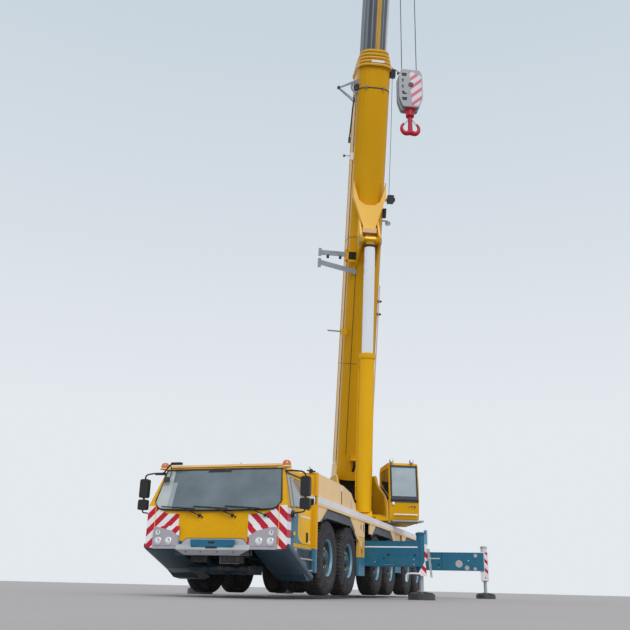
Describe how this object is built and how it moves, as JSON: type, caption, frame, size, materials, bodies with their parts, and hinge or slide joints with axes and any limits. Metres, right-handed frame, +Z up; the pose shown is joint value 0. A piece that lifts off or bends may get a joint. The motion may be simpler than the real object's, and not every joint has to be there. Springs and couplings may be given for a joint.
{
  "type": "six-axle mobile telescopic crane",
  "caption": "Mobile crane on its outriggers: carrier with steered axles, slewing superstructure, luffing telescopic boom, operator's cab and hook block.",
  "frame": {"origin": "middle of the carrier's outline on the floor, which is also the middle of the footprint of the whole crane", "axes": "+X to the crane's left, -Y to its front, +Z up"},
  "size_m": [7.82, 15.55, 29.7758],
  "materials": {
    "yellow_paint": "gloss",
    "cover_paint": "satin",
    "teal_paint": "gloss",
    "frame_paint": "satin",
    "deck_plate": "satin",
    "rubber": "matt",
    "tyre": "matt",
    "rim_paint": "satin",
    "glass": "clear",
    "dark_steel": "satin",
    "bright_rod": "polished",
    "bumper_grey": "satin",
    "cab_trim": "matt",
    "hook_grey": "painted",
    "ballast": "painted",
    "jack_white": "satin"
  },
  "bodies": {
    "chassis": {"chassis_frame": "frame_paint", "axle_beams": "dark_steel", "carrier_cab": "yellow_paint", "cab_glass": "glass", "cab_interior": "cab_trim", "front_bumper": "bumper_grey", "side_panels": "yellow_paint", "arch_skirts": "rubber", "deck": "deck_plate", "engine": "dark_steel", "engine_covers": "cover_paint"},
    "cab_door_left": {"cab_door_left": "yellow_paint"},
    "cab_door_right": {"cab_door_right": "yellow_paint"},
    "outrigger_beam_front_left": {"outrigger_beam_front_left": "teal_paint"},
    "jack_leg_front_left": {"jack_leg_front_left": "dark_steel"},
    "outrigger_beam_front_right": {"outrigger_beam_front_right": "teal_paint"},
    "jack_leg_front_right": {"jack_leg_front_right": "dark_steel"},
    "outrigger_beam_rear_left": {"outrigger_beam_rear_left": "teal_paint"},
    "jack_leg_rear_left": {"jack_leg_rear_left": "dark_steel"},
    "outrigger_beam_rear_right": {"outrigger_beam_rear_right": "teal_paint"},
    "jack_leg_rear_right": {"jack_leg_rear_right": "dark_steel"},
    "wheel_1_left": {"tyre_1_left": "tyre", "rim_1_left": "rim_paint"},
    "knuckle_1_left": {"knuckle_1_left": "dark_steel"},
    "wheel_1_right": {"tyre_1_right": "tyre", "rim_1_right": "rim_paint"},
    "knuckle_1_right": {"knuckle_1_right": "dark_steel"},
    "wheel_2_left": {"tyre_2_left": "tyre", "rim_2_left": "rim_paint"},
    "knuckle_2_left": {"knuckle_2_left": "dark_steel"},
    "wheel_2_right": {"tyre_2_right": "tyre", "rim_2_right": "rim_paint"},
    "knuckle_2_right": {"knuckle_2_right": "dark_steel"},
    "wheel_3_left": {"tyre_3_left": "tyre", "rim_3_left": "rim_paint"},
    "wheel_3_right": {"tyre_3_right": "tyre", "rim_3_right": "rim_paint"},
    "wheel_4_left": {"tyre_4_left": "tyre", "rim_4_left": "rim_paint"},
    "wheel_4_right": {"tyre_4_right": "tyre", "rim_4_right": "rim_paint"},
    "wheel_5_left": {"tyre_5_left": "tyre", "rim_5_left": "rim_paint"},
    "wheel_5_right": {"tyre_5_right": "tyre", "rim_5_right": "rim_paint"},
    "wheel_6_left": {"tyre_6_left": "tyre", "rim_6_left": "rim_paint"},
    "wheel_6_right": {"tyre_6_right": "tyre", "rim_6_right": "rim_paint"},
    "superstructure": {"slewing_platform": "yellow_paint", "counterweight": "ballast", "hoist_winch": "dark_steel"},
    "operator_cab": {"operator_cab": "yellow_paint"},
    "boom": {"boom_base": "yellow_paint"},
    "boom_tip": {"boom_tip": "jack_white"},
    "head_sheaves": {"head_sheaves": "dark_steel", "hoist_rope": "dark_steel"},
    "hook_block": {"hook_block": "hook_grey"},
    "luffing_barrel": {"luffing_barrel": "yellow_paint"},
    "luffing_rod": {"luffing_rod": "bright_rod"}
  },
  "joints": [
    {"name": "cab_door_left", "type": "hinge", "parent": "chassis", "child": "cab_door_left", "pos_m": [1.452, -7.351, 1.5], "axis": [0, 0, -1], "range_deg": [0, 75]},
    {"name": "cab_door_right", "type": "hinge", "parent": "chassis", "child": "cab_door_right", "pos_m": [-1.452, -7.351, 1.5], "axis": [0, 0, 1], "range_deg": [0, 75]},
    {"name": "outrigger_front_left", "type": "slide", "parent": "chassis", "child": "outrigger_beam_front_left", "axis": [1, 0, 0], "range_m": [-1.52, 0.77]},
    {"name": "jack_front_left", "type": "slide", "parent": "outrigger_beam_front_left", "child": "jack_leg_front_left", "axis": [0, 0, 1], "range_m": [-0.15, 0.34]},
    {"name": "outrigger_front_right", "type": "slide", "parent": "chassis", "child": "outrigger_beam_front_right", "axis": [-1, 0, 0], "range_m": [-1.52, 0.77]},
    {"name": "jack_front_right", "type": "slide", "parent": "outrigger_beam_front_right", "child": "jack_leg_front_right", "axis": [0, 0, 1], "range_m": [-0.15, 0.34]},
    {"name": "outrigger_rear_left", "type": "slide", "parent": "chassis", "child": "outrigger_beam_rear_left", "axis": [1, 0, 0], "range_m": [-2.25, 0.12]},
    {"name": "jack_rear_left", "type": "slide", "parent": "outrigger_beam_rear_left", "child": "jack_leg_rear_left", "axis": [0, 0, 1], "range_m": [-0.15, 0.34]},
    {"name": "outrigger_rear_right", "type": "slide", "parent": "chassis", "child": "outrigger_beam_rear_right", "axis": [-1, 0, 0], "range_m": [-2.25, 0.12]},
    {"name": "jack_rear_right", "type": "slide", "parent": "outrigger_beam_rear_right", "child": "jack_leg_rear_right", "axis": [0, 0, 1], "range_m": [-0.15, 0.34]},
    {"name": "steer_1_left", "type": "hinge", "parent": "chassis", "child": "knuckle_1_left", "pos_m": [0.905, -5.175, 0.8165], "axis": [0, 0, 1], "range_deg": [-28, 28]},
    {"name": "spin_1_left", "type": "hinge", "parent": "knuckle_1_left", "child": "wheel_1_left", "pos_m": [1.28, -5.175, 0.8165], "axis": [1, 0, 0], "continuous": true},
    {"name": "steer_1_right", "type": "hinge", "parent": "chassis", "child": "knuckle_1_right", "pos_m": [-0.905, -5.175, 0.8165], "axis": [0, 0, 1], "range_deg": [-28, 28]},
    {"name": "spin_1_right", "type": "hinge", "parent": "knuckle_1_right", "child": "wheel_1_right", "pos_m": [-1.28, -5.175, 0.8165], "axis": [1, 0, 0], "continuous": true},
    {"name": "steer_2_left", "type": "hinge", "parent": "chassis", "child": "knuckle_2_left", "pos_m": [0.905, -3.475, 0.8165], "axis": [0, 0, 1], "range_deg": [-21, 21]},
    {"name": "spin_2_left", "type": "hinge", "parent": "knuckle_2_left", "child": "wheel_2_left", "pos_m": [1.28, -3.475, 0.8165], "axis": [1, 0, 0], "continuous": true},
    {"name": "steer_2_right", "type": "hinge", "parent": "chassis", "child": "knuckle_2_right", "pos_m": [-0.905, -3.475, 0.8165], "axis": [0, 0, 1], "range_deg": [-21, 21]},
    {"name": "spin_2_right", "type": "hinge", "parent": "knuckle_2_right", "child": "wheel_2_right", "pos_m": [-1.28, -3.475, 0.8165], "axis": [1, 0, 0], "continuous": true},
    {"name": "spin_3_left", "type": "hinge", "parent": "chassis", "child": "wheel_3_left", "pos_m": [1.28, -0.575, 0.8165], "axis": [1, 0, 0], "continuous": true},
    {"name": "spin_3_right", "type": "hinge", "parent": "chassis", "child": "wheel_3_right", "pos_m": [-1.28, -0.575, 0.8165], "axis": [1, 0, 0], "continuous": true},
    {"name": "spin_4_left", "type": "hinge", "parent": "chassis", "child": "wheel_4_left", "pos_m": [1.28, 1.175, 0.8165], "axis": [1, 0, 0], "continuous": true},
    {"name": "spin_4_right", "type": "hinge", "parent": "chassis", "child": "wheel_4_right", "pos_m": [-1.28, 1.175, 0.8165], "axis": [1, 0, 0], "continuous": true},
    {"name": "spin_5_left", "type": "hinge", "parent": "chassis", "child": "wheel_5_left", "pos_m": [1.28, 3.775, 0.8165], "axis": [1, 0, 0], "continuous": true},
    {"name": "spin_5_right", "type": "hinge", "parent": "chassis", "child": "wheel_5_right", "pos_m": [-1.28, 3.775, 0.8165], "axis": [1, 0, 0], "continuous": true},
    {"name": "spin_6_left", "type": "hinge", "parent": "chassis", "child": "wheel_6_left", "pos_m": [1.28, 5.525, 0.8165], "axis": [1, 0, 0], "continuous": true},
    {"name": "spin_6_right", "type": "hinge", "parent": "chassis", "child": "wheel_6_right", "pos_m": [-1.28, 5.525, 0.8165], "axis": [1, 0, 0], "continuous": true},
    {"name": "slew", "type": "hinge", "parent": "chassis", "child": "superstructure", "pos_m": [0, 3.075, 2.15], "axis": [0, 0, 1], "continuous": true},
    {"name": "cab_tilt", "type": "hinge", "parent": "superstructure", "child": "operator_cab", "pos_m": [1.14219, 3.18947, 2.24], "axis": [-0.9135, -0.4067, 0], "range_deg": [0, 20]},
    {"name": "luff", "type": "hinge", "parent": "superstructure", "child": "boom", "pos_m": [-0.65078, 4.53667, 3.55], "axis": [0.9135, 0.4067, 0], "range_deg": [-9, 73]},
    {"name": "telescope", "type": "slide", "parent": "boom", "child": "boom_tip", "axis": [0.1189, -0.2671, 0.9563], "range_m": [-12, 0]},
    {"name": "sheave_turn", "type": "hinge", "parent": "boom_tip", "child": "head_sheaves", "pos_m": [3.11841, -3.92907, 29.24329], "axis": [0.9135, 0.4067, 0], "range_deg": [-73, 9]},
    {"name": "hoist", "type": "slide", "parent": "head_sheaves", "child": "hook_block", "axis": [0, 0, 1], "range_m": [0, 12], "deforming": ["hoist_rope"]},
    {"name": "barrel_turn", "type": "hinge", "parent": "superstructure", "child": "luffing_barrel", "pos_m": [0.52469, 1.89653, 2.27], "axis": [0.9135, 0.4067, 0], "range_deg": [-10.28, 83.37]},
    {"name": "rod_slide", "type": "slide", "parent": "luffing_barrel", "child": "luffing_rod", "axis": [0.0499, -0.1121, 0.9924], "range_m": [-3.32, 0.415]}
  ],
  "couplings": [
    {"joint": "steer_1_right", "follows": "steer_1_left", "ratio": 1},
    {"joint": "steer_2_left", "follows": "steer_1_left", "ratio": 0.75},
    {"joint": "steer_2_right", "follows": "steer_1_left", "ratio": 0.75},
    {"joint": "sheave_turn", "follows": "luff", "ratio": -1},
    {"joint": "hoist", "follows": "telescope", "ratio": -1},
    {"joint": "barrel_turn", "follows": "luff", "ratio": 1.142},
    {"joint": "rod_slide", "follows": "luff", "m_per_rad": -2.6}
  ]
}
